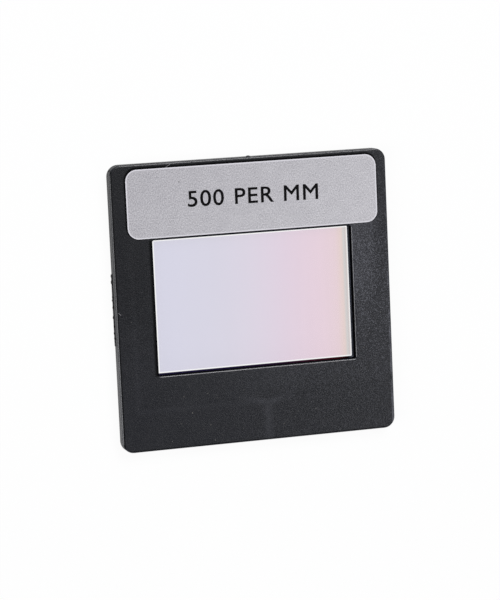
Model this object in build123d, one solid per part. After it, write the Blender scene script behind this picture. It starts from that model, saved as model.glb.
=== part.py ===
from build123d import *
import os

# A diffraction grating in a slide mount. Two moulded halves hold a sheet of grating film between them.
# The mount lies on its back. +Z points out of the front, +X to the front's right and +Y to its top.
# The origin is the middle of the back, in the plane that the mount lies on. All sizes are in millimetres.

# Mount, outside
mount_size = 50.0  # width and height of the 2 by 2 inch slide format
mount_corner_radius = 2.0
front_thickness = 1.2
rear_thickness = 1.1
face_edge_radius = 0.3  # rounds each face into the sides
seam_chamfer = 0.08  # breaks each half's edge at the seam, which shows as a fine line round the sides

# Window
window_width = 36.0
window_height = 23.6
window_corner_radius = 0.3
window_shift = 0.1  # the window sits this far to the right of the middle
window_drop = 0.1  # and this far below it
window_edge_radius = 0.35  # rounds each face into its window
rear_window_inset = 0.08  # the rear window is this much smaller at each edge

# Grating film
film_width = 42.4
film_height = 34.6
film_thickness = 0.13
film_play = 0.03  # space above the film in its pocket
film_side_clearance = 0.25  # from each edge of the film to the tongue

# Tongue on the front half, and the groove for it in the rear half
tongue_width = 0.9
tongue_height = 0.5
tongue_inner_radius = 0.3
tongue_outer_radius = 0.7
tongue_lead = 0.12  # chamfer on the tip of the tongue, so that it finds the groove
groove_side_clearance = 0.08
groove_depth_clearance = 0.1

# What the moulding gates left behind
stub_width = 0.6  # snapped-off gate in the middle of the front half's top side
stub_depth = 0.5
stub_height = 0.2
stub_chamfer = 0.1
scar_length = 12.6  # trimmed tab gate in the middle of the rear half's left side
scar_depth = 0.5
scar_height = 0.1
gate_root = 0.2  # how far each gate reaches into its half

# Label
label_width = 45.3
label_height = 12.0
label_corner_radius = 2.0
label_thickness = 0.1
label_top_margin = 0.9  # from the mount's top edge to the label
label_shift = 0.45  # the label sits this far to the right of the middle

half_size = mount_size / 2
seam_z = rear_thickness
front_z = rear_thickness + front_thickness
pocket_depth = film_thickness + film_play
tongue_inner_width = film_width + 2 * film_side_clearance
tongue_inner_height = film_height + 2 * film_side_clearance


def moulded_plate(thickness, window_inset, window_y):
    """A plate with a window, from its seam side at z = 0 up to its rounded face."""
    outline = RectangleRounded(mount_size, mount_size, mount_corner_radius)
    opening = Pos(window_shift, window_y) * RectangleRounded(
        window_width - 2 * window_inset, window_height - 2 * window_inset, window_corner_radius
    )
    plate = extrude(outline - opening, thickness)
    face = plate.faces().sort_by(Axis.Z)[-1]
    plate = plate.fillet(face_edge_radius, face.outer_wire().edges())
    face = plate.faces().sort_by(Axis.Z)[-1]
    plate = plate.fillet(window_edge_radius, face.inner_wires()[0].edges())
    seam = plate.faces().sort_by(Axis.Z)[0]
    return plate.chamfer(seam_chamfer, None, seam.outer_wire().edges())


def ring(depth, side_clearance):
    """The tongue's ring, widened by a clearance on both sides, from z = 0 down to depth."""
    outer = RectangleRounded(
        tongue_inner_width + 2 * (tongue_width + side_clearance),
        tongue_inner_height + 2 * (tongue_width + side_clearance),
        tongue_outer_radius + side_clearance,
    )
    inner = RectangleRounded(
        tongue_inner_width - 2 * side_clearance,
        tongue_inner_height - 2 * side_clearance,
        tongue_inner_radius - side_clearance,
    )
    return extrude(outer - inner, -depth)


def tongue():
    """The ring on the front half's seam side that fits the groove and frames the film."""
    body = ring(tongue_height, 0)
    tip = body.faces().sort_by(Axis.Z)[0]
    return body.chamfer(tongue_lead, None, tip.edges())


def gate_stub():
    """The snapped-off gate on the top side of the front half."""
    rough = Box(stub_width, stub_height + gate_root, stub_depth)
    rough = Pos(0, half_size + (stub_height - gate_root) / 2, front_thickness / 2) * rough
    tip = rough.faces().sort_by(Axis.Y)[-1]
    return rough.chamfer(stub_chamfer, None, tip.edges())


def gate_scar():
    """The trimmed tab gate on the left side of the rear half."""
    rough = Box(scar_height + gate_root, scar_length, scar_depth)
    rough = Pos(-half_size + (gate_root - scar_height) / 2, 0, rear_thickness / 2) * rough
    tip = rough.faces().sort_by(Axis.X)[0]
    return rough.chamfer(scar_height * 0.6, None, tip.edges().filter_by(Axis.Z))


def front_half():
    plate = moulded_plate(front_thickness, 0, -window_drop)
    return Pos(0, 0, seam_z) * (plate + tongue() + gate_stub())


def rear_half():
    plate = moulded_plate(rear_thickness, rear_window_inset, window_drop)
    plate = Pos(0, 0, seam_z) * Rot(180, 0, 0) * plate  # turns the window's drop over as well
    pocket = extrude(
        RectangleRounded(
            tongue_inner_width + 2 * (tongue_width + groove_side_clearance),
            tongue_inner_height + 2 * (tongue_width + groove_side_clearance),
            tongue_outer_radius + groove_side_clearance,
        ),
        -pocket_depth,
    )
    groove = ring(tongue_height + groove_depth_clearance, groove_side_clearance)
    return plate - Pos(0, 0, seam_z) * (pocket + groove) + gate_scar()


def grating_film():
    return Pos(0, 0, seam_z - pocket_depth) * extrude(Rectangle(film_width, film_height), film_thickness)


def label():
    middle_y = half_size - label_top_margin - label_height / 2
    sheet = extrude(RectangleRounded(label_width, label_height, label_corner_radius), label_thickness)
    return Pos(label_shift, middle_y, front_z) * sheet


os.makedirs("parts", exist_ok=True)
for piece in (front_half, rear_half, grating_film, label):
    export_step(piece(), f"parts/{piece.__name__}.step")
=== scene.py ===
import math
import random

import bpy
from mathutils import Matrix, Vector


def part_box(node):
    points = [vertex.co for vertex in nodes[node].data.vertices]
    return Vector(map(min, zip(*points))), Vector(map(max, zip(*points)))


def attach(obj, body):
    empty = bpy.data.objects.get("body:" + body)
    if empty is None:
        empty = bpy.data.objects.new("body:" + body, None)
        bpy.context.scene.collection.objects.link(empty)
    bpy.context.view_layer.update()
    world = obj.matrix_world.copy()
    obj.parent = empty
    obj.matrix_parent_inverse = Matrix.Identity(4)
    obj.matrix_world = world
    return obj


# A diffraction grating in a black slide mount with a grey label, lying on its back on a pale floor.
# Blender works in metres. Sizes here are in millimetres and are turned into metres with MM.
MM = 0.001

# Camera, in the pose that the photograph was taken from
camera_azimuth = 16.264  # degrees towards the front's left
camera_elevation = 7.708  # degrees towards the front's top
camera_roll = -2.586
camera_distance = 424.5
camera_target = (-0.30, -0.28)  # the point of the floor in the middle of the picture
camera_lens = 145.2
sensor_width = 36.0

# Loose and torn bits, as places on the mount
burr_rows = (5.9, 4.9, 2.3, 1.7, 0.5, -1.3, -2.8, -4.0, -4.9)
burr_proud = 0.02  # the middle of each torn bit stands this far out of the side
burr_height = (0.35, 0.4)  # above the back: at least the first, and up to the second more
burr_size = ((0.22, 0.08), (0.35, 0.35), (0.3, 0.2))  # the same along x, y and z
nub_unevenness = 0.3
left_fibre = ((-24.85, -0.62, 2.05), (-24.62, -0.30, 2.30), (-24.40, -0.52, 2.38), (-24.15, -0.80, 2.33))
top_fibre = ((-14.95, 24.15, 2.40), (-14.55, 24.45, 2.34), (-14.2, 24.62, 2.34), (-14.1, 24.9, 2.10))
fibre_radius = 0.03
dust_grains = (  # x, y and width of the larger dust grains on the front face
    (-12.3, -18.9, 0.19),
    (-9.4, -15.7, 0.15),
    (-13.7, -15.9, 0.14),
    (-9.1, -21.3, 0.14),
    (-8.4, -24.1, 0.17),
    (-7.1, -23.3, 0.13),
    (-16.2, -23.6, 0.14),
    (-2.8, -15.7, 0.13),
    (-14.4, -20.6, 0.13),
    (-7.7, -16.6, 0.12),
    (-3.7, -16.9, 0.12),
    (-10.5, -21.9, 0.12),
    (-3.2, -22.5, 0.12),
    (19.6, -10.1, 0.15),
    (23.0, -4.1, 0.15),
    (20.8, -7.6, 0.12),
    (15.4, -15.6, 0.13),
    (4.3, -22.4, 0.13),
    (-22.4, -2.1, 0.13),
    (-12.6, -14.3, 0.12),
)
dust_grain_length = (0.6, 0.4)  # share of a grain's width: at least the first, and up to the second more
dust_grain_height = 0.12

# Floor
floor_size = 6000.0
floor_drop = 0.02  # keeps the floor's face clear of the mount's back
floor_shadow_share = 0.06  # how much of the floor's look comes from the light on it

# Lamps, square and soft. Strength is how bright a lamp makes a white face that is turned to it.
softboxes = (  # name, direction from the object, distance, size and strength
    ("softbox_top", (0.36, 0.8, 1.0), 700.0, 350.0, 0.69),
    ("softbox_left", (-0.95, -0.16, 0.7), 700.0, 420.0, 0.55),
    ("softbox_right", (0.60, -0.28, 0.8), 300.0, 80.0, 0.11),
)

# A ramp is low, high, start and end: its value goes from start to end while a place, in millimetres, goes
# from low to high. Along an axis, the place is measured from the middle of the mount.

noise_span = (0.3, 0.7)  # where most values of a noise lie

# Plastic. The tool's grain is finer than this, and is drawn as coarse as it needs to show.
grain_size = 0.15
grain_depth = 0.035
grain_span = (0.36, 0.70)  # the values of the noise between the darkest and the palest grain
grain_spread = 1.15
grain_shift = -0.33  # keeps the grain from changing how bright the face is on the whole
# Painted sparkle: how strongly the grain's pale points are painted along x and y
sparkle_rightward = (-12.0, 22.0, 1.6, 8.0)  # ramp along x
sparkle_upward = (-18.0, -4.0, 0.4, 1.0)  # ramp along y
sparkle_at_top = (8.0, 14.0, 1.0, 0.6)  # ramp along y
mottle_size = 5.0
film_clearance = 0.25  # between the film and the rib round its pocket
rib_width = 0.9
sink_highlight_reach = 0.8  # from the middle of the rib to where the painted highlight of its sink mark ends
weld_x = 1.5
weld_fork_y = -18.4
weld_slope = 0.33  # rise of the weld line's arms
weld_arm_reach = 1.0
weld_arm_length = 8.0
weld_stem_reach = 1.3
weld_stem_end = (-0.6, 0.2, 1.0, 0.0)  # ramp from below the arms to above them
# Painted sheen: a pale patch on the face beside the window's right edge
sheen_middle = (19.8, 8.0, 2.0)
sheen_reach = (4.2, 16.7, 6.0)
sheen_core = 0.3  # share of the reach that is evenly pale
painted_light_below = (-17.5, -14.5)  # along y, where painted light makes the face paler towards the window
painted_light_rightward = (-10.0, 4.0, 0.0, 1.0)  # ramp along x
painted_light_at_top = (8.0, 14.0, 1.0, 0.0)  # ramp along y
painted_shade_upward = (-10.0, 22.0)  # along y, where painted shade makes the face darker towards the label
shade_leftward = (-20.0, -12.0)  # along x, from where the upper left is in the shade to where it isn't
shade_strength = 0.15
shade_upward = (-13.0, 2.0, 0.0, 1.0)  # ramp along y
worn_and_highlit_rise = (0.05, 0.55)  # upright part of the normal, where an edge's wear and painted highlight start at the side
worn_and_highlit_fall = (0.93, 0.995)  # and where it ends at the face
worn_grain = 0.15  # share of the grain's bumps that is left there
# Painted highlight along the right edge, broken up by the mottle
edge_highlight_patches = (0.38, 0.6)  # the values of the mottle between no painted highlight and a full one
edge_highlight_x = 24.52
edge_highlight_width = 0.22
edge_highlight_fade = 0.08
window_middle = (0.1, -0.1, 0.0)
window_half = (18.0, 11.8)
wall_lean = (0.35, 0.8)  # upright part of the normal, from a window's wall to its rounded edge
wall_reach = (0.1, 0.3)  # from the window's edge to where the painted shade on its walls ends
lip_rightward = (-18.8, -18.3)  # along x, where the left lip turns dark
lip_strength = 0.85
lip_end = (-1.0, 0.0, 1.0, 0.0)  # ramp along x
lip_corners = (11.7, 12.0, 1.0, 0.0)  # ramp up and down from the window's middle
# Painted shadow of the label: a dark line round it, shifted towards its upper left
label_shadow_shift = (-0.08, 0.16, 0.0)
label_shadow_reach = (0.15, 0.35)
label_shadow_strength = 0.85
# Painted shade in a thin line inside the face's left and bottom edges
edge_shade_lines = (("X", -24.66, 0.55), ("Y", -24.74, 0.4))  # axis, place along it and strength
edge_shade_reach = (0.07, 0.17)
dust_spacing = 2.6
dust_radius = (0.02, 0.045)  # shares of the spacing
dust_choice = (0.55, 0.95)  # only cells with a value over the first have dust
tone_base = 0.25
tone_floor = -0.25
plastic_roughness = 0.40
mottle_roughness = 0.10
worn_polish = -0.24

# Film. The tints, painted diffraction colours, run from the left of the window to the right.
film_tint_left = -18.0
film_tint_right = 18.0
film_tints = (
    (0.0, "#e6e6f3"),
    (0.3, "#e7e5f0"),
    (0.5, "#ece6f1"),
    (0.67, "#efe1ee"),
    (0.835, "#f2e1ec"),
    (0.93, "#f2e1e9"),
    (0.96, "#f5e2dc"),
    (1.0, "#f5e2dc"),
)
# Painted shade: the film is painted greyer beside the right edge of the window, ending in a paler edge
band_tints = ((0.0, "#ece1de"), (0.45, "#e1e0df"), (0.8, "#dcd2d0"), (1.0, "#f4eeea"))
band_left = 16.75  # where the film turns grey beside the right edge of the window
band_right = 17.6
# Painted diffracted light: the colours the film's haze is painted with, from the left of the window to the
# right
painted_diffraction_colours = (
    (0.0, "#685ca5"),
    (0.4, "#5c4890"),
    (0.62, "#7a4a86"),
    (0.84, "#a84a66"),
    (0.93, "#a03038"),
    (0.975, "#201418"),
    (0.992, "#d4dcf4"),
    (1.0, "#d4dcf4"),
)
film_haze = 0.06
film_reflectance = 0.0123  # of each face, seen squarely
# Painted light: a white border along the window's edges
bright_border_middle = (0.09, 0.0, 1.0)
bright_border_half = (17.48, 11.35)
bright_border_fade = 0.12
dim_line_y = -11.64  # below it the film is painted black, a painted shade, with painted diffraction colours over it
dim_line_fade = 0.04
dim_haze = 0.16
band_fade = 0.2
streak_size = 1.1
streak_stretch = 0.06
streak_depth = 0.004
low_strip = (-12.0, -6.0, 0.99, 1.0)  # ramp along y
side_haze_left = 0.08  # from the right edge of the grey band to where the film is hazy again
side_haze_fade = 0.04
rule_size = 0.6  # the real rulings are far too fine to draw
rule_depth = 0.002

# Label
fibre_size = 0.15
label_corner = 2.0
fibre_stretch = 0.65
fibre_tones = (-0.35, 1.2)
cloud_tone = 0.15
label_speck = (-12.76, 21.52)
speck_reach = (0.06, 0.16)
speck_strength = 0.8
label_shading_rightward = (-0.37, -0.08)  # painted light and shade: change of tone at the label's left and right edges
label_shading_upward = (0.10, 0.0)  # and at its lower and upper edges
cloud_size = 2.2
rim_reach = (0.28, 0.12)  # from the label's edge in to where its paler rim starts and is full
fibre_depth = 0.01

# Lettering on the label. The text is made at size 1 and then scaled to its place.
letter_height = 2.66
letter_stretch = 1.08  # widens the letters
letter_swell = 0.045  # thickens each stroke by twice this
letter_proud = 0.012
letter_middle_x = 0.5
letter_baseline_y = 17.0
letter_turn = -0.6  # degrees
bfont_cap_height = 0.682  # height of a capital in Blender's own font at size 1

# The setting of a map range that eases in and out
smooth = {"interpolation_type": "SMOOTHSTEP"}


def linear(hex_colour):
    """An sRGB hex colour as the linear RGBA that shaders use."""
    channels = [int(hex_colour[i : i + 2], 16) / 255 for i in (1, 3, 5)]
    return [*(c / 12.92 if c <= 0.04045 else ((c + 0.055) / 1.055) ** 2.4 for c in channels), 1.0]


def add_node(tree, kind, settings=(), links=(), stops=()):
    """Adds a node, sets its own or its sockets' values, plugs outputs into its sockets and fills its ramp."""
    node = tree.nodes.new(kind)
    for name, value in dict(settings).items():
        if isinstance(name, str) and hasattr(node, name):
            setattr(node, name, value)
        else:
            node.inputs[name].default_value = value
    for name, source in dict(links).items():
        output = source if isinstance(source, bpy.types.NodeSocket) else source.outputs[0]
        tree.links.new(output, node.inputs[name])
    for i, (position, colour) in enumerate(stops):
        element = node.color_ramp.elements[i] if i < 2 else node.color_ramp.elements.new(position)
        element.position = position
        element.color = colour
    return node


def new_material(name):
    """An empty material with its output node."""
    material = bpy.data.materials.new(name)
    material.use_nodes = True
    material.node_tree.nodes.clear()
    return material, material.node_tree, add_node(material.node_tree, "ShaderNodeOutputMaterial")


def dress(piece, material):
    """Puts one material on every face of a piece."""
    piece.data.materials.clear()
    piece.data.materials.append(material)


def beyond_label(tree, place, label_box):
    """The distance out from the middle part of the label. At the label's edge it is label_corner."""
    middle = (label_box[0] + label_box[1]) / 2
    half = (label_box[1] - label_box[0]) / 2 - Vector((label_corner, label_corner, 0)) * MM
    out = place
    for operation, amount in (
        ("SUBTRACT", middle),
        ("ABSOLUTE", (0, 0, 0)),
        ("SUBTRACT", (half.x, half.y, MM / 2)),
        ("MAXIMUM", (0, 0, 0)),
        ("LENGTH", (0, 0, 0)),
    ):
        out = add_node(tree, "ShaderNodeVectorMath", {"operation": operation, 1: amount}, {0: out})
    return out.outputs["Value"]


def ramped(tree, mask, *ramps):
    """A mask times one straight ramp for each pair of a source and its ramp."""
    for source, (low, high, start, end) in ramps:
        ramp = add_node(
            tree, "ShaderNodeMapRange", {1: low * MM, 2: high * MM, 3: start, 4: end}, {0: source}
        )
        mask = add_node(tree, "ShaderNodeMath", {"operation": "MULTIPLY"}, {0: mask, 1: ramp})
    return mask


def sink_highlight(tree, place, film_box):
    """Where the face has sunk over the rib round the film pocket, from the distance to its rectangle. The
    mark is painted paler there, a painted highlight.
    """
    rib = [film_box[1][axis] + (film_clearance + rib_width / 2) * MM for axis in (0, 1)]
    off = add_node(tree, "ShaderNodeVectorMath", {"operation": "ABSOLUTE"}, {0: place})
    off = add_node(tree, "ShaderNodeVectorMath", {"operation": "SUBTRACT", 1: (*rib, 1.0)}, {0: off})
    off = add_node(tree, "ShaderNodeSeparateXYZ", (), {0: off})
    off = add_node(
        tree, "ShaderNodeMath", {"operation": "MAXIMUM"}, {0: off.outputs["X"], 1: off.outputs["Y"]}
    )
    off = add_node(tree, "ShaderNodeMath", {"operation": "ABSOLUTE"}, {0: off})
    return add_node(tree, "ShaderNodeMapRange", {**smooth, 2: sink_highlight_reach * MM, 3: 1.0, 4: 0.0}, {0: off})


def weld_line(tree, part):
    """Where two flows of plastic met: a stem from the bottom edge and two arms that fork to the window."""
    aside = add_node(
        tree, "ShaderNodeMath", {"operation": "SUBTRACT", 1: weld_x * MM}, {0: part.outputs["X"]}
    )
    aside = add_node(tree, "ShaderNodeMath", {"operation": "ABSOLUTE"}, {0: aside})
    arm_y = add_node(
        tree, "ShaderNodeMath", {"operation": "MULTIPLY_ADD", 1: weld_slope, 2: weld_fork_y * MM}, {0: aside}
    )
    above_arm = add_node(tree, "ShaderNodeMath", {"operation": "SUBTRACT"}, {0: part.outputs["Y"], 1: arm_y})
    off_arm = add_node(tree, "ShaderNodeMath", {"operation": "ABSOLUTE"}, {0: above_arm})
    arm = add_node(
        tree, "ShaderNodeMapRange", {**smooth, 2: weld_arm_reach * MM, 3: 1.0, 4: 0.0}, {0: off_arm}
    )
    arm = ramped(tree, arm, (aside, (0.0, weld_arm_length, 1.0, 0.0)))
    stem = add_node(
        tree, "ShaderNodeMapRange", {**smooth, 2: weld_stem_reach * MM, 3: 1.0, 4: 0.0}, {0: aside}
    )
    stem = ramped(tree, stem, (above_arm, weld_stem_end))
    return add_node(tree, "ShaderNodeMath", {"operation": "MAXIMUM"}, {0: arm, 1: stem})


def painted_sheen(tree, place):
    """A painted sheen: the pale, even part of the face beside the window, where a lamp's reflection would
    fall, which fades out all round.
    """
    spot = add_node(
        tree,
        "ShaderNodeMapping",
        {
            "vector_type": "TEXTURE",
            "Location": [c * MM for c in sheen_middle],
            "Scale": [r * MM for r in sheen_reach],
        },
        {0: place},
    )
    spot = add_node(tree, "ShaderNodeVectorMath", {"operation": "LENGTH"}, {0: spot}).outputs["Value"]
    return add_node(tree, "ShaderNodeMapRange", {**smooth, 1: sheen_core, 3: 1.0, 4: 0.0}, {0: spot})


def dark_places(tree, place, part, lean, label_box):
    """How much of each place is painted near black: painted shade on the window's walls, its left lip, the
    face's edges and upper left, and a painted shadow round the label.
    """
    window = [c * MM for c in window_middle]
    inside = add_node(tree, "ShaderNodeVectorMath", {"operation": "SUBTRACT", 1: window}, {0: place})
    inside = add_node(tree, "ShaderNodeVectorMath", {"operation": "ABSOLUTE"}, {0: inside})
    inside = add_node(tree, "ShaderNodeSeparateXYZ", (), {0: inside})

    # Painted shade: the window's walls are painted black
    start, end = wall_lean
    shaded_wall = add_node(tree, "ShaderNodeMapRange", {1: start, 2: end, 3: 1.0, 4: 0.0}, {0: lean})
    start, end = wall_reach
    for axis, half in zip("XY", window_half):
        shaded_wall = ramped(tree, shaded_wall, (inside.outputs[axis], (half + start, half + end, 1.0, 0.0)))

    # The window's left lip turns away from the light
    start, end = lip_rightward
    lip = add_node(
        tree, "ShaderNodeMapRange", {1: start * MM, 2: end * MM, 4: lip_strength}, {0: part.outputs["X"]}
    )
    lip = ramped(tree, lip, (part.outputs["X"], lip_end), (inside.outputs["Y"], lip_corners))

    # A painted shadow of the label: a dark line follows its edge, wider at its upper left
    shifted = [c * MM for c in label_shadow_shift]
    shifted = add_node(tree, "ShaderNodeVectorMath", {"operation": "SUBTRACT", 1: shifted}, {0: place})
    start, end = ((label_corner + reach) * MM for reach in label_shadow_reach)
    label_shadow = add_node(
        tree,
        "ShaderNodeMapRange",
        {1: start, 2: end, 3: label_shadow_strength, 4: 0.0},
        {0: beyond_label(tree, shifted, label_box)},
    )

    # Painted shade lies in a thin line inside the face's left and bottom edges
    edge_shade = []
    start, end = edge_shade_reach
    for axis, middle, strength in edge_shade_lines:
        off = add_node(
            tree, "ShaderNodeMath", {"operation": "SUBTRACT", 1: middle * MM}, {0: part.outputs[axis]}
        )
        off = add_node(tree, "ShaderNodeMath", {"operation": "ABSOLUTE"}, {0: off})
        edge_shade.append(
            add_node(
                tree, "ShaderNodeMapRange", {1: start * MM, 2: end * MM, 3: strength, 4: 0.0}, {0: off}
            )
        )

    # The face's upper left is in the shade
    start, end = shade_leftward
    shade = add_node(
        tree,
        "ShaderNodeMapRange",
        {**smooth, 1: start * MM, 2: end * MM, 3: shade_strength, 4: 0.0},
        {0: part.outputs["X"]},
    )
    shade = ramped(tree, shade, (part.outputs["Y"], shade_upward))

    dark = shaded_wall
    for mask in (lip, label_shadow, *edge_shade, shade):
        dark = add_node(tree, "ShaderNodeMath", {"operation": "MAXIMUM"}, {0: dark, 1: mask})
    return dark


def moulded_polystyrene(film_box, label_box):
    """Black high-impact polystyrene from a spark-eroded tool: dark and even, with a satin grain, and with
    light and shade painted into its colour.

    Where the rib round the film pocket stands behind the face, the plastic has sunk a little, and that sink
    mark is painted paler: a painted highlight.
    The melt flowed round the window and met below it, which left the forked weld line.
    """
    material, tree, output = new_material("black polystyrene, spark-eroded mould finish")
    place = add_node(tree, "ShaderNodeTexCoord").outputs["Object"]
    part = add_node(tree, "ShaderNodeSeparateXYZ", (), {0: place})
    grain = add_node(
        tree,
        "ShaderNodeTexNoise",
        {"Scale": 1 / (grain_size * MM), "Detail": 0.5, "Roughness": 0.5},
        {0: place},
    )
    mottle = add_node(
        tree, "ShaderNodeTexNoise", {"Scale": 1 / (mottle_size * MM), "Detail": 2.0}, {0: place}
    )

    # The grain's pale points are real grain with a painted sparkle over it: painted stronger towards the
    # right, where the light glances, and weaker at the bottom and top
    start, end = grain_span
    grain_and_sparkle = add_node(tree, "ShaderNodeMapRange", {1: start, 2: end}, {0: grain})
    grain_and_sparkle = add_node(tree, "ShaderNodeMath", {"operation": "POWER", 1: 2.0}, {0: grain_and_sparkle})
    grain_and_sparkle = add_node(
        tree, "ShaderNodeMath", {"operation": "MULTIPLY_ADD", 1: grain_spread, 2: grain_shift}, {0: grain_and_sparkle}
    )
    low, high, start, end = sparkle_rightward
    rightward = add_node(
        tree,
        "ShaderNodeMapRange",
        {**smooth, 1: low * MM, 2: high * MM, 3: start, 4: end},
        {0: part.outputs["X"]},
    )
    grain_and_sparkle = add_node(tree, "ShaderNodeMath", {"operation": "MULTIPLY"}, {0: grain_and_sparkle, 1: rightward})
    grain_and_sparkle = ramped(
        tree, grain_and_sparkle, (part.outputs["Y"], sparkle_upward), (part.outputs["Y"], sparkle_at_top)
    )
    low, high = noise_span
    cloud = add_node(tree, "ShaderNodeMapRange", {1: low, 2: high}, {0: mottle})

    # The face is painted a little paler from the window's lower edge up, a painted light, and darker again
    # towards the label, a painted shade
    start, end = painted_light_below
    painted_light_near_window = add_node(
        tree, "ShaderNodeMapRange", {**smooth, 1: start * MM, 2: end * MM}, {0: part.outputs["Y"]}
    )
    painted_light_near_window = ramped(
        tree, painted_light_near_window, (part.outputs["X"], painted_light_rightward), (part.outputs["Y"], painted_light_at_top)
    )
    start, end = painted_shade_upward
    painted_shade_near_label = add_node(
        tree, "ShaderNodeMapRange", {1: start * MM, 2: end * MM}, {0: part.outputs["Y"]}
    )

    # Worn edges are polished by handling: smoother where the surface is neither flat nor upright. The same
    # mask paints them paler, a painted highlight
    normal = add_node(tree, "ShaderNodeNewGeometry").outputs["Normal"]
    lean = add_node(tree, "ShaderNodeSeparateXYZ", (), {0: normal}).outputs["Z"]
    lean = add_node(tree, "ShaderNodeMath", {"operation": "ABSOLUTE"}, {0: lean})
    start, end = worn_and_highlit_rise
    rise = add_node(tree, "ShaderNodeMapRange", {**smooth, 1: start, 2: end}, {0: lean})
    start, end = worn_and_highlit_fall
    fall = add_node(tree, "ShaderNodeMapRange", {**smooth, 1: start, 2: end, 3: 1.0, 4: 0.0}, {0: lean})
    worn_and_highlit = add_node(tree, "ShaderNodeMath", {"operation": "MULTIPLY"}, {0: rise, 1: fall})

    # A painted highlight: a broken pale line along the right edge, where the face starts to curve
    start, end = edge_highlight_patches
    edge_highlight = add_node(tree, "ShaderNodeMapRange", {**smooth, 1: start, 2: end}, {0: mottle})
    edge_highlight_end = edge_highlight_x + edge_highlight_width
    edge_highlight = ramped(
        tree,
        edge_highlight,
        (part.outputs["X"], (edge_highlight_x - edge_highlight_fade, edge_highlight_x, 0.0, 1.0)),
        (part.outputs["X"], (edge_highlight_end, edge_highlight_end + edge_highlight_fade, 1.0, 0.0)),
    )

    # Painted light and shade in the tone: paler beside the window, over the sink mark, on rounded edges and
    # along the right edge, and darker towards the label
    tone = add_node(tree, "ShaderNodeMath", {"operation": "ADD", 1: tone_base}, {0: grain_and_sparkle})
    for mask, weight in (
        (cloud, 0.12),
        (painted_shade_near_label, -0.70),
        (sink_highlight(tree, place, film_box), 0.36),
        (weld_line(tree, part), 1.15),
        (painted_light_near_window, 0.6),
        (painted_sheen(tree, place), 2.8),
        (worn_and_highlit, 2.2),
        (edge_highlight, 6.0),
    ):
        tone = add_node(tree, "ShaderNodeMath", {"operation": "MULTIPLY_ADD", 1: weight}, {0: mask, 2: tone})
    tone = add_node(tree, "ShaderNodeMath", {"operation": "MAXIMUM", 1: tone_floor}, {0: tone})
    face = add_node(
        tree,
        "ShaderNodeMix",
        {"data_type": "RGBA", "clamp_factor": False, 6: linear("#0a0c14"), 7: linear("#202127")},
        {0: tone},
    )
    # Painted shade: the dark places are painted near black
    dark = dark_places(tree, place, part, lean, label_box)
    face_with_painted_shade = add_node(
        tree, "ShaderNodeMix", {"data_type": "RGBA", 7: linear("#030304")}, {0: dark, 6: face.outputs[2]}
    )

    # Dust specks, few and pale
    dust = add_node(
        tree, "ShaderNodeTexVoronoi", {"Scale": 1 / (dust_spacing * MM), "Randomness": 1.0}, {0: place}
    )
    start, end = dust_radius
    near_dust = add_node(
        tree, "ShaderNodeMapRange", {1: start, 2: end, 3: 1.0, 4: 0.0}, {0: dust.outputs["Distance"]}
    )
    start, end = dust_choice
    chosen = add_node(tree, "ShaderNodeSeparateColor", (), {0: dust.outputs["Color"]}).outputs["Red"]
    chosen = add_node(tree, "ShaderNodeMapRange", {1: start, 2: end}, {0: chosen})
    dusty = add_node(tree, "ShaderNodeMath", {"operation": "MULTIPLY"}, {0: near_dust, 1: chosen})
    final = add_node(
        tree, "ShaderNodeMix", {"data_type": "RGBA", 7: linear("#65635f")}, {0: dusty, 6: face_with_painted_shade.outputs[2]}
    )

    worn_flat = add_node(tree, "ShaderNodeMapRange", {3: 1.0, 4: worn_grain}, {0: worn_and_highlit})
    bump = add_node(
        tree, "ShaderNodeBump", {"Distance": grain_depth * MM}, {"Height": grain, "Strength": worn_flat}
    )
    polish = add_node(
        tree,
        "ShaderNodeMath",
        {"operation": "MULTIPLY_ADD", 1: mottle_roughness, 2: plastic_roughness},
        {0: mottle},
    )
    polish = add_node(
        tree, "ShaderNodeMath", {"operation": "MULTIPLY_ADD", 1: worn_polish}, {0: worn_and_highlit, 2: polish}
    )
    shader = add_node(
        tree,
        "ShaderNodeBsdfPrincipled",
        {"IOR": 1.55},
        {"Base Color": final.outputs[2], "Roughness": polish, "Normal": bump},
    )
    # Painted shade: where the dark mask is, the plastic turns to a dull near-black
    unlit = add_node(tree, "ShaderNodeBsdfDiffuse", {"Color": linear("#060608"), "Roughness": 1.0})
    shader = add_node(tree, "ShaderNodeMixShader", (), {0: dark, 1: shader, 2: unlit})
    tree.links.new(shader.outputs[0], output.inputs["Surface"])
    return material


def face_tints(tints):
    """The stops of a ramp for one face of the film. Light passes both, so each takes the square root."""
    return [(at, [c**0.5 for c in linear(tint)]) for at, tint in tints]


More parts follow.
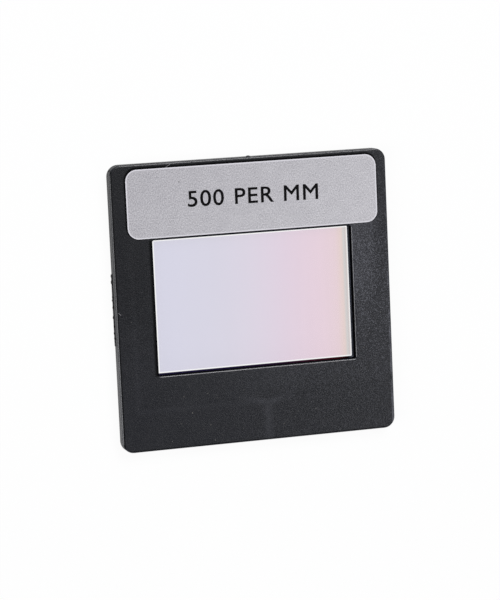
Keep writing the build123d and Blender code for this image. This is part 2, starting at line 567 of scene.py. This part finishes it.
def embossed_film():
    """Clear polyester film with an embossed ruled layer. The colours it diffracts are painted into it: its
    tint turns across the rulings, and light and shade are painted near the window's edges.
    """
    material, tree, output = new_material("clear polyester film, embossed grating layer")
    place = add_node(tree, "ShaderNodeTexCoord").outputs["Object"]
    part = add_node(tree, "ShaderNodeSeparateXYZ", (), {0: place})
    across = add_node(
        tree, "ShaderNodeMapRange", {1: film_tint_left * MM, 2: film_tint_right * MM}, {0: part.outputs["X"]}
    )
    tint = add_node(tree, "ShaderNodeValToRGB", (), {0: across}, face_tints(film_tints))
    tint.color_ramp.interpolation = "B_SPLINE"
    in_band = add_node(
        tree, "ShaderNodeMapRange", {1: band_left * MM, 2: band_right * MM}, {0: part.outputs["X"]}
    )
    band = add_node(tree, "ShaderNodeValToRGB", (), {0: in_band}, face_tints(band_tints))
    at_band = add_node(
        tree,
        "ShaderNodeMapRange",
        {1: (band_left - band_fade) * MM, 2: (band_left + band_fade) * MM},
        {0: part.outputs["X"]},
    )
    tint = add_node(tree, "ShaderNodeMix", {"data_type": "RGBA"}, {0: at_band, 6: tint, 7: band})

    # Faint streaks along the rulings, and a darker strip low in the window
    streaks = add_node(tree, "ShaderNodeMapping", {"Scale": (1.0, streak_stretch, 1.0)}, {0: place})
    streaks = add_node(
        tree, "ShaderNodeTexNoise", {"Scale": 1 / (streak_size * MM), "Detail": 3.0}, {0: streaks}
    )
    low, high = noise_span
    shade = add_node(tree, "ShaderNodeMapRange", {1: low, 2: high, 3: 1 - streak_depth}, {0: streaks})
    low, high, start, end = low_strip
    strip = add_node(
        tree,
        "ShaderNodeMapRange",
        {**smooth, 1: low * MM, 2: high * MM, 3: start, 4: end},
        {0: part.outputs["Y"]},
    )
    shade = add_node(tree, "ShaderNodeMath", {"operation": "MULTIPLY"}, {0: shade, 1: strip})
    tinted = add_node(
        tree, "ShaderNodeVectorMath", {"operation": "SCALE"}, {0: tint.outputs[2], "Scale": shade}
    )

    # Painted light: the film is painted white along the window's edges, and is left without haze there
    middle = add_node(
        tree, "ShaderNodeVectorMath", {"operation": "SUBTRACT", 1: [c * MM for c in bright_border_middle]}, {0: place}
    )
    middle = add_node(tree, "ShaderNodeVectorMath", {"operation": "ABSOLUTE"}, {0: middle})
    middle = add_node(tree, "ShaderNodeSeparateXYZ", (), {0: middle})
    to_side, to_end = (
        add_node(
            tree, "ShaderNodeMapRange", {1: half * MM, 2: (half + bright_border_fade) * MM}, {0: middle.outputs[axis]}
        )
        for axis, half in zip("XY", bright_border_half)
    )
    bright_border = add_node(tree, "ShaderNodeMath", {"operation": "MAXIMUM"}, {0: to_side, 1: to_end})
    colour = add_node(
        tree, "ShaderNodeMix", {"data_type": "RGBA", 7: linear("#ffffff")}, {0: bright_border, 6: tinted}
    )

    # Along the lower edge the film is painted black, a painted shade for the dark plastic behind it, with
    # painted diffraction colours over that
    dim = add_node(
        tree,
        "ShaderNodeMapRange",
        {1: (dim_line_y - dim_line_fade) * MM, 2: (dim_line_y + dim_line_fade) * MM, 3: 1.0, 4: 0.0},
        {0: part.outputs["Y"]},
    )
    colour = add_node(
        tree, "ShaderNodeMix", {"data_type": "RGBA", 7: linear("#000000")}, {0: dim, 6: colour.outputs[2]}
    )
    clear = add_node(tree, "ShaderNodeBsdfTransparent", (), {"Color": colour.outputs[2]})

    # Painted diffracted light: a diffuse haze in the colours that the rulings would diffract
    glow = add_node(
        tree, "ShaderNodeValToRGB", (), {0: across}, [(at, linear(colour)) for at, colour in painted_diffraction_colours]
    )
    haze = add_node(tree, "ShaderNodeBsdfDiffuse", (), {"Color": glow})
    hazy = add_node(tree, "ShaderNodeMapRange", {3: film_haze, 4: 0.0}, {0: bright_border})
    side = band_right + side_haze_left
    hazy_side = add_node(
        tree,
        "ShaderNodeMapRange",
        {1: side * MM, 2: (side + side_haze_fade) * MM, 4: film_haze},
        {0: part.outputs["X"]},
    )
    hazy = add_node(tree, "ShaderNodeMath", {"operation": "MAXIMUM"}, {0: hazy, 1: hazy_side})
    hazy = add_node(
        tree, "ShaderNodeMath", {"operation": "MULTIPLY_ADD", 1: dim_haze}, {0: dim, 2: hazy}
    )
    body = add_node(tree, "ShaderNodeMixShader", (), {0: hazy, 1: clear, 2: haze})
    rules = add_node(
        tree,
        "ShaderNodeTexWave",
        {"Scale": 1 / (rule_size * MM), "Distortion": 0.3, "Detail": 1.0},
        {0: place},
    )
    ruled = add_node(
        tree,
        "ShaderNodeBump",
        {"Strength": 0.05, "Distance": rule_depth * MM},
        {"Height": rules.outputs["Fac"]},
    )
    gloss = add_node(
        tree, "ShaderNodeBsdfGlossy", {"Roughness": 0.12, "Color": linear("#ffffff")}, {"Normal": ruled}
    )
    slant = add_node(tree, "ShaderNodeLayerWeight", {"Blend": 0.5}).outputs["Facing"]
    sheen = add_node(tree, "ShaderNodeMath", {"operation": "POWER", 1: 5.0}, {0: slant})
    sheen = add_node(tree, "ShaderNodeMapRange", {3: film_reflectance, 4: 1.0}, {0: sheen})
    shader = add_node(tree, "ShaderNodeMixShader", (), {0: sheen, 1: body, 2: gloss})
    tree.links.new(shader.outputs[0], output.inputs["Surface"])
    return material


def label_paper(label_box):
    """Matt grey label stock with a sticky back: a fine fibre mottle, a paler rim along its edge and one dark
    speck.
    """
    material, tree, output = new_material("matt grey label stock")
    place = add_node(tree, "ShaderNodeTexCoord").outputs["Object"]
    part = add_node(tree, "ShaderNodeSeparateXYZ", (), {0: place})
    drawn = add_node(tree, "ShaderNodeMapping", {"Scale": (1.0, fibre_stretch, 1.0)}, {0: place})
    fibres = add_node(
        tree,
        "ShaderNodeTexNoise",
        {"Scale": 1 / (fibre_size * MM), "Detail": 2.0, "Roughness": 0.6},
        {0: drawn},
    )
    mottle = add_node(tree, "ShaderNodeTexNoise", {"Scale": 1 / (cloud_size * MM), "Detail": 2.0}, {0: place})
    low, high = noise_span
    start, end = fibre_tones
    tone = add_node(tree, "ShaderNodeMapRange", {1: low, 2: high, 3: start, 4: end}, {0: fibres})
    cloud = add_node(tree, "ShaderNodeMapRange", {1: low, 2: high, 4: cloud_tone}, {0: mottle})
    tone = add_node(tree, "ShaderNodeMath", {"operation": "ADD"}, {0: tone, 1: cloud})
    # Painted light and shade: the label is painted darker towards its left edge and a little paler towards
    # its bottom
    for i, (axis, (start, end)) in enumerate((("X", label_shading_rightward), ("Y", label_shading_upward))):
        fade = add_node(
            tree,
            "ShaderNodeMapRange",
            {1: label_box[0][i], 2: label_box[1][i], 3: start, 4: end},
            {0: part.outputs[axis]},
        )
        tone = add_node(tree, "ShaderNodeMath", {"operation": "ADD"}, {0: tone, 1: fade})
    colour = add_node(
        tree,
        "ShaderNodeMix",
        {"data_type": "RGBA", "clamp_factor": False, 6: linear("#b0aeb3"), 7: linear("#d6d4d8")},
        {0: tone},
    )

    start, end = ((label_corner - reach) * MM for reach in rim_reach)
    rim = add_node(
        tree, "ShaderNodeMapRange", {**smooth, 1: start, 2: end}, {0: beyond_label(tree, place, label_box)}
    )
    edged = add_node(
        tree, "ShaderNodeMix", {"data_type": "RGBA", 7: linear("#e0dee4")}, {0: rim, 6: colour.outputs[2]}
    )

    speck = add_node(
        tree,
        "ShaderNodeVectorMath",
        {"operation": "DISTANCE", 1: (label_speck[0] * MM, label_speck[1] * MM, label_box[1].z)},
        {0: place},
    )
    start, end = speck_reach
    speck = add_node(
        tree,
        "ShaderNodeMapRange",
        {1: start * MM, 2: end * MM, 3: speck_strength, 4: 0.0},
        {0: speck.outputs["Value"]},
    )
    final = add_node(
        tree, "ShaderNodeMix", {"data_type": "RGBA", 7: linear("#3c3936")}, {0: speck, 6: edged.outputs[2]}
    )
    bump = add_node(
        tree, "ShaderNodeBump", {"Strength": 0.6, "Distance": fibre_depth * MM}, {"Height": fibres}
    )
    shader = add_node(
        tree,
        "ShaderNodeBsdfPrincipled",
        {"Roughness": 0.55, "Specular IOR Level": 0.3},
        {"Base Color": final.outputs[2], "Normal": bump},
    )
    tree.links.new(shader.outputs["BSDF"], output.inputs["Surface"])
    return material


def mottled(name, dark, pale, patch, roughness, specular, bumpiness):
    """A plain matt material whose two tones and bumps follow one noise. Patch is the size of its blotches."""
    material, tree, output = new_material(name)
    place = add_node(tree, "ShaderNodeTexCoord").outputs["Object"]
    noise = add_node(tree, "ShaderNodeTexNoise", {"Scale": 1 / (patch * MM), "Detail": 3.0}, {0: place})
    colour = add_node(
        tree, "ShaderNodeMix", {"data_type": "RGBA", 6: linear(dark), 7: linear(pale)}, {0: noise}
    )
    bump = add_node(tree, "ShaderNodeBump", {"Strength": 0.8, "Distance": bumpiness * MM}, {"Height": noise})
    shader = add_node(
        tree,
        "ShaderNodeBsdfPrincipled",
        {"Roughness": roughness, "Specular IOR Level": specular},
        {"Base Color": colour.outputs[2], "Normal": bump},
    )
    tree.links.new(shader.outputs["BSDF"], output.inputs["Surface"])
    return material


def add_lettering(label_top):
    """The printed line on the label: a thin closed mesh of ink."""
    bpy.ops.object.select_all(action="DESELECT")
    bpy.ops.object.text_add()
    text = bpy.context.object
    scale = letter_height * MM / bfont_cap_height
    text.data.body = "500 PER MM"
    text.data.align_x = "CENTER"
    text.data.bevel_depth = letter_swell * MM / scale
    text.data.bevel_resolution = 1
    text.data.space_character = 1.1
    text.data.space_word = 1.05
    bpy.ops.object.convert(target="MESH")
    lettering = bpy.context.object
    lettering.name = "label_lettering"
    lettering.data.transform(
        Matrix.Translation((letter_middle_x * MM, letter_baseline_y * MM, label_top))
        @ Matrix.Rotation(math.radians(letter_turn), 4, "Z")
        @ Matrix.Diagonal((scale * letter_stretch, scale, scale * letter_proud / letter_swell, 1))
    )
    return lettering


def add_nubs(name, places, seed):
    """Small uneven lumps, joined into one piece. Each place is its middle and its size along x, y and z."""
    dice = random.Random(seed)
    nubs = []
    for middle, size in places:
        bpy.ops.object.select_all(action="DESELECT")
        place = [c * MM for c in middle]
        bpy.ops.mesh.primitive_ico_sphere_add(subdivisions=2, radius=0.5 * MM, location=place)
        nub = bpy.context.object
        bpy.ops.object.mode_set(mode="EDIT")
        bpy.ops.transform.resize(value=size, center_override=nub.location)
        bpy.ops.object.mode_set(mode="OBJECT")
        for vertex in nub.data.vertices:
            vertex.co *= 1 + nub_unevenness * (dice.random() - 0.5)
        nubs.append(nub)
    bpy.ops.object.select_all(action="DESELECT")
    for nub in nubs:
        nub.select_set(True)
    bpy.context.view_layer.objects.active = nubs[0]
    bpy.ops.object.join()
    bpy.ops.object.transform_apply(location=True, rotation=True, scale=True)
    bpy.context.object.name = name
    return bpy.context.object


def add_fibre(name, points, radius):
    """A loose fibre: a thin tube through given points, with closed ends."""
    bpy.ops.object.select_all(action="DESELECT")
    bpy.ops.curve.primitive_nurbs_path_add(radius=MM)
    path = bpy.context.object
    path.name = name
    curve = path.data
    curve.splines.clear()
    spline = curve.splines.new("NURBS")
    spline.points.add(len(points) - 1)
    for point, place in zip(spline.points, points):
        point.co = (*(c * MM for c in place), 1.0)
    spline.order_u = 3
    spline.use_endpoint_u = True
    curve.bevel_depth = radius * MM
    curve.bevel_resolution = 2
    curve.use_fill_caps = True
    bpy.ops.object.convert(target="MESH")
    return bpy.context.object


def add_floor():
    """A plain white floor. The camera sees it white, darkened a little by the object's shadow."""
    bpy.ops.object.select_all(action="DESELECT")
    bpy.ops.mesh.primitive_plane_add(size=floor_size * MM, location=(0, 0, -floor_drop * MM))
    floor = bpy.context.object
    floor.name = "floor"
    material, tree, output = new_material("white matt floor")
    ray = add_node(tree, "ShaderNodeLightPath")
    seen = ray.outputs["Is Camera Ray"]
    for other in ("Is Glossy Ray", "Is Transmission Ray"):
        seen = add_node(tree, "ShaderNodeMath", {"operation": "MAXIMUM"}, {0: seen, 1: ray.outputs[other]})
    share = add_node(tree, "ShaderNodeMath", {"operation": "MULTIPLY", 1: 1 - floor_shadow_share}, {0: seen})
    lit = add_node(tree, "ShaderNodeBsdfDiffuse", {"Color": linear("#fafafa")})
    white = add_node(tree, "ShaderNodeEmission", {"Color": linear("#ffffff"), "Strength": 1.0})
    shader = add_node(tree, "ShaderNodeMixShader", (), {0: share, 1: lit, 2: white})
    tree.links.new(shader.outputs[0], output.inputs["Surface"])
    dress(floor, material)


def add_softbox(name, direction, distance, size, strength):
    """A square soft lamp that looks at the object."""
    lamp = bpy.data.lights.new(name, "AREA")
    lamp.shape = "SQUARE"
    lamp.size = size * MM
    lamp.energy = strength * math.pi**2 * (distance * MM) ** 2
    holder = bpy.data.objects.new(name, lamp)
    bpy.context.scene.collection.objects.link(holder)
    towards = Vector(direction).normalized()
    holder.location = towards * distance * MM
    holder.rotation_mode = "QUATERNION"
    holder.rotation_quaternion = towards.to_track_quat("Z", "Y")
    holder.visible_camera = False


def add_lights():
    """The soft lamps in a dim bluish room, which the camera sees as white."""
    for name, direction, distance, size, strength in softboxes:
        add_softbox(name, direction, distance, size, strength)
    world = bpy.data.worlds.new("studio")
    bpy.context.scene.world = world
    world.use_nodes = True
    tree = world.node_tree
    tree.nodes.clear()
    output = add_node(tree, "ShaderNodeOutputWorld")
    ray = add_node(tree, "ShaderNodeLightPath")
    dim = add_node(tree, "ShaderNodeBackground", {"Color": linear("#e6ecff"), "Strength": 0.10})
    white = add_node(tree, "ShaderNodeBackground", {"Color": linear("#ffffff"), "Strength": 1.0})
    shader = add_node(tree, "ShaderNodeMixShader", (), {0: ray.outputs["Is Camera Ray"], 1: dim, 2: white})
    tree.links.new(shader.outputs[0], output.inputs["Surface"])


def add_camera():
    """The camera looks down at the front, a little from its left and top."""
    azimuth, elevation, roll = (math.radians(a) for a in (camera_azimuth, camera_elevation, camera_roll))
    back = Vector(
        (
            -math.sin(azimuth) * math.cos(elevation),
            math.sin(elevation),
            math.cos(azimuth) * math.cos(elevation),
        )
    )
    right = (-back).cross(Vector((0, 1, 0))).normalized()
    up = right.cross(-back)
    rolled_right = math.cos(roll) * right + math.sin(roll) * up
    rolled_up = math.cos(roll) * up - math.sin(roll) * right
    data = bpy.data.cameras.new("camera")
    data.lens = camera_lens
    data.sensor_width = sensor_width
    data.clip_start = 10 * MM
    data.clip_end = 2 * floor_size * MM
    camera = bpy.data.objects.new("camera", data)
    bpy.context.scene.collection.objects.link(camera)
    place = Matrix((rolled_right, rolled_up, back)).transposed().to_4x4()
    place.translation = Vector((*camera_target, 0)) * MM + back * camera_distance * MM
    camera.matrix_world = place
    bpy.context.scene.camera = camera


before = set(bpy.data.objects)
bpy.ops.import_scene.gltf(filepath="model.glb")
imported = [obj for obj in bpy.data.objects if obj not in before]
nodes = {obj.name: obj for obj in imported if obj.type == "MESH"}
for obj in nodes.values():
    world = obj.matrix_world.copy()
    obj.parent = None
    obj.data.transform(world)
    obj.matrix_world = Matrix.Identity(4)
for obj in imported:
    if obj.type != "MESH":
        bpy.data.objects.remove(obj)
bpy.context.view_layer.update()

plastic = moulded_polystyrene(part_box("grating_film"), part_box("label"))
dress(nodes["front_half"], plastic)
dress(nodes["rear_half"], plastic)
dress(nodes["grating_film"], embossed_film())
dress(nodes["label"], label_paper(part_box("label")))

# Black thermal-transfer ink: a thin dense layer, a little less matt than the paper
ink = mottled(
    "black thermal-transfer ink",
    "#020203",
    "#0a0a0b",
    patch=0.3,
    roughness=0.6,
    specular=0.1,
    bumpiness=0.005,
)
# Where a gate was cut, the torn plastic is rough, dark and slightly brown
torn = mottled(
    "black polystyrene, torn at the gate",
    "#0c0a09",
    "#2e2620",
    patch=0.12,
    roughness=0.75,
    specular=0.2,
    bumpiness=0.03,
)
# Pale cotton lint: matt, with a faint change of tone along the fibre
lint = mottled(
    "pale cotton lint",
    "#8a888c",
    "#bcbabe",
    patch=0.2,
    roughness=0.9,
    specular=0.2,
    bumpiness=0.01,
)
# House dust: matt, warm grey grains
house_dust = mottled(
    "grey house dust",
    "#5c5956",
    "#97938e",
    patch=0.15,
    roughness=0.95,
    specular=0.1,
    bumpiness=0.03,
)

dice = random.Random(4)
wall_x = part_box("rear_half")[0].x / MM
face_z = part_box("front_half")[1].z / MM
burr_places = [
    (
        (wall_x + burr_proud, y, burr_height[0] + burr_height[1] * dice.random()),
        [least + more * dice.random() for least, more in burr_size],
    )
    for y in burr_rows
]
dust_places = [
    (
        (x, y, face_z),
        (width, width * (dust_grain_length[0] + dust_grain_length[1] * dice.random()), dust_grain_height),
    )
    for x, y, width in dust_grains
]
extras = (
    (add_lettering(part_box("label")[1].z), ink, "label_paper"),
    (add_nubs("gate_burrs", burr_places, 5), torn, "mount_plastic"),
    (add_nubs("dust_grains", dust_places, 6), house_dust, "label_paper"),
    (add_fibre("lint_on_left_edge", left_fibre, fibre_radius), lint, "label_paper"),
    (add_fibre("lint_on_top_edge", top_fibre, fibre_radius), lint, "label_paper"),
)
for piece, material, slot in extras:
    dress(piece, material)
    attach(piece, "root")

add_floor()
add_lights()
add_camera()
bpy.context.scene.view_settings.view_transform = "Standard"
